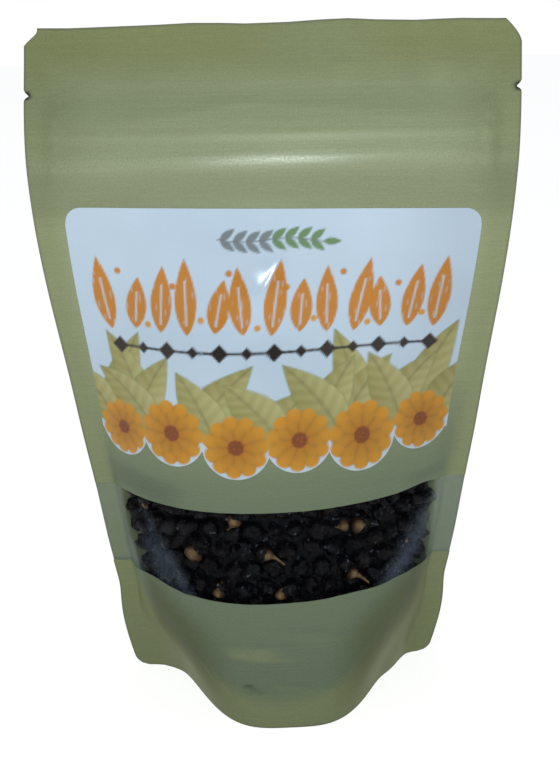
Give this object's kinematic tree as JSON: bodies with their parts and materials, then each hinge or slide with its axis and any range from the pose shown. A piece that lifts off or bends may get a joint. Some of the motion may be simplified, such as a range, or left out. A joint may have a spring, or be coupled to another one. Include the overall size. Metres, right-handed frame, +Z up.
{
  "type": "stand-up pouch of dried fruit",
  "caption": "Filled stand-up kraft-look pouch with a clear window band, press-to-close zip, scalloped label, gusseted base and dark dried fruit inside.",
  "frame": {"origin": "on the floor under the middle of the pouch's footprint", "axes": "+X to the pouch's right as its front is seen, -Y out of the front with the window and label, +Z up"},
  "size_m": [0.152, 0.0804, 0.2371],
  "materials": {
    "kraft": "satin laminated kraft, olive tan, fine fibre streaks",
    "clear_film": "clear glossy film with a cool haze",
    "zip_plastic": "translucent white polyethylene",
    "label_paper": null,
    "dried_fruit": "wrinkled near-black dried berries with small glints and tan stubs"
  },
  "bodies": {
    "root": {"front_panel_upper": "kraft", "front_panel_lower": "kraft", "window_film": "clear_film", "back_panel": "kraft", "bottom_gusset": "kraft", "zip_strip_front": "zip_plastic", "zip_strip_back": "zip_plastic", "label": "label_paper", "dried_fruit": "dried_fruit"}
  },
  "joints": []
}
